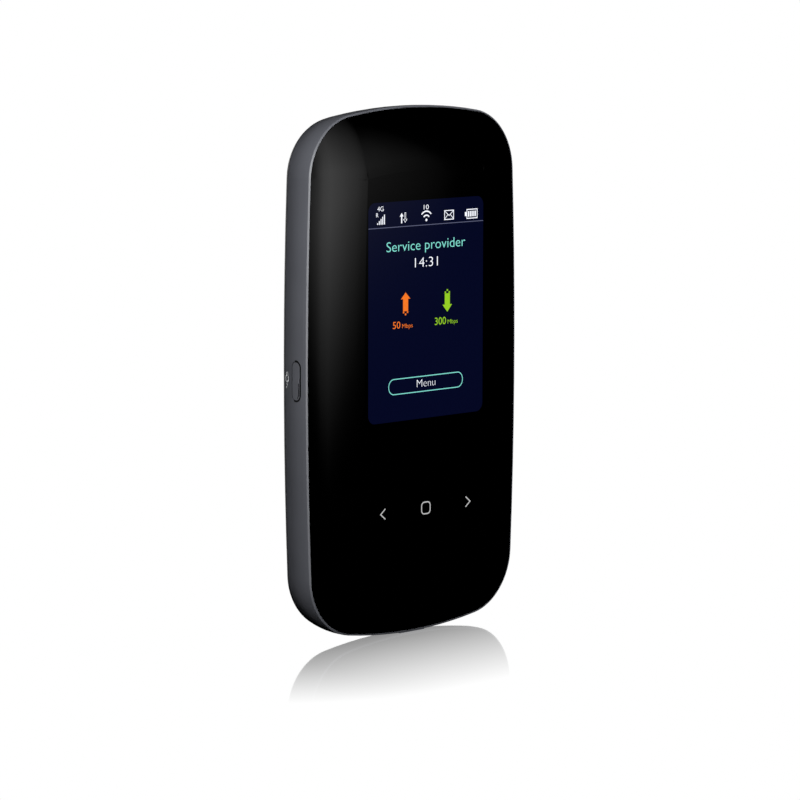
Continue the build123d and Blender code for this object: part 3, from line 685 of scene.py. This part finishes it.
def make_port_marks():
    """Painted shade in the groove round the port's flap and its nail step; a small plug printed beside
    it.
    """
    centre = ((FLAP_LOW.y + FLAP_HIGH.y) / 2, (FLAP_LOW.z + FLAP_HIGH.z) / 2)
    half_wide = (FLAP_HIGH.y - FLAP_LOW.y) / 2 / MM
    half_tall = (FLAP_HIGH.z - FLAP_LOW.z) / 2 / MM
    straight = half_tall - half_wide
    rim = half_wide + 0.06
    # Painted shade: near-black strokes that barely mirror stand in for the shade inside the groove and
    # nail step.
    painted_groove_shade, _, shader = moulded("port_groove_shade", (0.002, 0.002, 0.0022), 0.7)
    shader.inputs["Specular IOR Level"].default_value = 0.03
    top = arc((0, straight), rim, 0, 180)
    bottom = arc((0, -straight), rim, 180, 360)
    ring = subdivided(top + bottom + top[:1])[:-1]
    # Painted shade: a wider stroke on the groove's front side, where more of the shade inside shows.
    outer = rim + 0.05
    front = subdivided(arc((0, straight), outer, 75, 180) + arc((0, -straight), outer, 180, 300))
    inner = 0.5 - half_wide
    step = subdivided([(inner, -0.4), (inner, -straight - 0.2), (inner + 0.35, -straight - 0.8)])
    lines = (
        ("port_groove_ring", stroke(ring, GROOVE_THIN_MM, closed=True), 0.03, "root"),
        ("port_groove_front", stroke(front, GROOVE_FRONT_SHADE_MM), 0.04, "root"),
        ("flap_nail_step", stroke(step, NAIL_STEP_MM), 0.05, "port_flap"),
    )
    for name, faces, out, body in lines:
        link(name, side_mesh(name, faces, centre, SINK, out * MM), painted_groove_shade, body)
    ink = moulded("port_ink", (0.2, 0.205, 0.21), 0.5)[0]
    plug = stroke(rounded(1.1, 1.3, 0.3, (0, 0.3)), PRINT_LINE_MM, closed=True)
    plug += stroke([(0, -0.45), (0, -1.2), (0.35, -1.75)], PRINT_LINE_MM)
    for x in (-0.28, 0.28):
        plug += stroke([(x, 1.05), (x, 1.75)], PRINT_LINE_MM)
    spot = (RIM + PORT_MARK_BACK, centre[1])
    link("port_mark", side_mesh("port_mark", plug, spot, SINK, MARK_OUT), ink)


# ---- floor, backdrop and lights ----


def flat_mesh(name, half, level):
    """A level square, half wide each way from the middle."""
    mesh = bpy.data.meshes.new(name)
    corners = [(-half, -half, level), (half, -half, level), (half, half, level), (-half, half, level)]
    mesh.from_pydata(corners, [], [(0, 1, 2, 3)])
    return mesh


def make_floor():
    """A white floor that mirrors the router for a short way round its foot."""
    mesh = flat_mesh("floor", 3.0, -0.01 * MM)
    material, tree, shader = new_material("floor")
    tree.nodes.remove(shader)
    white = add(tree, "ShaderNodeEmission", Color=(1, 1, 1, 1), Strength=1.0)
    gloss = add(tree, "ShaderNodeBsdfGlossy", Color=(1, 1, 1, 1), Roughness=0.04)
    position = tree.nodes.new("ShaderNodeNewGeometry").outputs["Position"]
    split = tree.nodes.new("ShaderNodeSeparateXYZ")
    tree.links.new(position, split.inputs["Vector"])
    beyond = maths(tree, "SUBTRACT", maths(tree, "ABSOLUTE", split.outputs["X"]), FLOOR_SIDE)
    sideways = maths(tree, "POWER", maths(tree, "MAXIMUM", beyond, 0.0), 2.0)
    ahead = maths(tree, "POWER", maths(tree, "ABSOLUTE", split.outputs["Y"]), 2.0)
    distance = maths(tree, "SQRT", maths(tree, "ADD", ahead, sideways))
    share = spread(tree, distance, 0.0, FLOOR_REACH, FLOOR_GLOSS, 0.0)
    mix = tree.nodes.new("ShaderNodeMixShader")
    tree.links.new(share, mix.inputs["Fac"])
    tree.links.new(white.outputs[0], mix.inputs[1])
    tree.links.new(gloss.outputs[0], mix.inputs[2])
    to_surface(tree, mix)
    mesh.materials.append(material)
    floor = bpy.data.objects.new("floor", mesh)
    bpy.context.scene.collection.objects.link(floor)
    floor.visible_diffuse = False
    floor.visible_glossy = False
    floor.visible_shadow = False
    return floor


def make_backdrop(floor):
    """A white dome that the camera and the floor see, and the router doesn't."""
    shape = bmesh.new()
    bmesh.ops.create_uvsphere(shape, u_segments=48, v_segments=24, radius=4.0)
    mesh = bpy.data.meshes.new("backdrop")
    shape.to_mesh(mesh)
    shape.free()
    material, tree, shader = new_material("backdrop")
    tree.nodes.remove(shader)
    white = add(tree, "ShaderNodeEmission", Color=(1, 1, 1, 1), Strength=1.0)
    to_surface(tree, white)
    mesh.materials.append(material)
    dome = bpy.data.objects.new("backdrop", mesh)
    bpy.context.scene.collection.objects.link(dome)
    lit_by_dome = bpy.data.collections.new("lit_by_backdrop")
    lit_by_dome.objects.link(floor)
    dome.light_linking.receiver_collection = lit_by_dome
    dome.visible_diffuse = False
    dome.visible_shadow = False


def make_world():
    """A world that gives no light of its own."""
    world = bpy.data.worlds.new("world")
    bpy.context.scene.world = world
    world.use_nodes = True
    background = world.node_tree.nodes["Background"]
    background.inputs["Color"].default_value = (1, 1, 1, 1)
    background.inputs["Strength"].default_value = 0.0


def make_card():
    """A curved sheet of light that fades sideways and downwards."""
    angles = [math.radians(-24 + 2 * i) for i in range(36)]
    corners = []
    for t in angles:
        for z in (CARD_LOW, CARD_HIGH):
            corners.append((CARD_RADIUS * math.sin(t), -CARD_RADIUS * math.cos(t), z))
    faces = [(2 * i, 2 * i + 2, 2 * i + 3, 2 * i + 1) for i in range(len(angles) - 1)]
    mesh = bpy.data.meshes.new("sheen_card")
    mesh.from_pydata(corners, [], faces)
    material, tree, shader = new_material("sheen_card")
    tree.nodes.remove(shader)
    split = tree.nodes.new("ShaderNodeSeparateXYZ")
    tree.links.new(place(tree), split.inputs["Vector"])
    angle = maths(tree, "ARCTAN2", split.outputs["X"], maths(tree, "MULTIPLY", split.outputs["Y"], -1.0))
    across = spread(tree, angle, math.radians(-20), math.radians(50), 0.0, 1.0)
    stops = [(0, 0.25), (0.06, 0.55), (0.14, 0.88), (0.24, 1.0), (0.4, 0.8), (0.55, 0.6), (0.7, 0.44)]
    stops += [(0.83, 0.27), (0.87, 0.18), (0.9, 0.1), (0.93, 0.05), (0.97, 0.0)]
    level = ramp(tree, across, [(position, (value,) * 3) for position, value in stops])
    rise = spread(tree, split.outputs["Z"], CARD_LOW, CARD_FULL, 0.02, 1.0)
    fall = spread(tree, split.outputs["Z"], 0.14, CARD_HIGH, 1.0, 0.5)
    share = maths(tree, "MULTIPLY", rise, fall)
    narrowed = maths(tree, "POWER", level, maths(tree, "DIVIDE", 1.0, share))
    power = maths(tree, "MULTIPLY", maths(tree, "MULTIPLY", share, share), narrowed)
    glow = tree.nodes.new("ShaderNodeEmission")
    tree.links.new(maths(tree, "MULTIPLY", power, CARD_POWER), glow.inputs["Strength"])
    through = tree.nodes.new("ShaderNodeBsdfTransparent")
    both = tree.nodes.new("ShaderNodeAddShader")
    tree.links.new(glow.outputs[0], both.inputs[0])
    tree.links.new(through.outputs[0], both.inputs[1])
    to_surface(tree, both)
    mesh.materials.append(material)
    card = bpy.data.objects.new("sheen_card", mesh)
    bpy.context.scene.collection.objects.link(card)
    card.visible_camera = False
    card.visible_diffuse = False
    card.visible_shadow = False
    return card


def polished_objects():
    """What has the lens's polish: the lens itself and the signs on it."""
    signs = [o for o in bpy.data.objects if o.name.startswith(("display_", "key_mark_"))]
    return [NODES["front_lens"]] + [o for o in signs if o.name not in NODES]


def keep_light_to(sources, name, objects):
    """These lights reach only these objects."""
    group = bpy.data.collections.new(name)
    for thing in objects:
        group.objects.link(thing)
    for source in sources:
        source.light_linking.receiver_collection = group


def make_lights(card):
    """Soft boxes for the body, and the card's sheen for the polished front."""
    front = [
        area_light("front_left", -30, 8, 0.5, (0.15, 0.15), 1.1, aim_z=0.125, spread_angle=55),
        area_light("left_side", -85, 5, 1.1, (0.6, 0.9), 0.25),
        area_light("right_side", 88, 8, 1.2, (0.45, 0.8), 5.0),
        area_light("top", 30, 80, 1.2, (0.9, 0.9), 0.5),
    ]
    back = [
        area_light("back_left", -165, 15, 1.3, (0.9, 0.9), 12.0),
        area_light("back_right", 175, 40, 1.3, (0.7, 0.9), 7.0),
    ]
    polished = polished_objects()
    stage = ("floor", "backdrop", "sheen_card")
    pieces = [o for o in bpy.data.objects if o.type == "MESH" and o.name not in stage]
    keep_light_to([card], "polished_front", polished)
    body = [o for o in pieces if o not in polished]
    keep_light_to(front, "body_pieces", body)
    keep_light_to(back, "back_pieces", [o for o in body if o.name not in ("front_frame", "usb_cover")])


bpy.context.scene.view_settings.view_transform = "Standard"
make_camera()
paint_nodes(make_materials())
make_display()
make_key_marks()
make_port_marks()
make_world()
make_backdrop(make_floor())
make_lights(make_card())
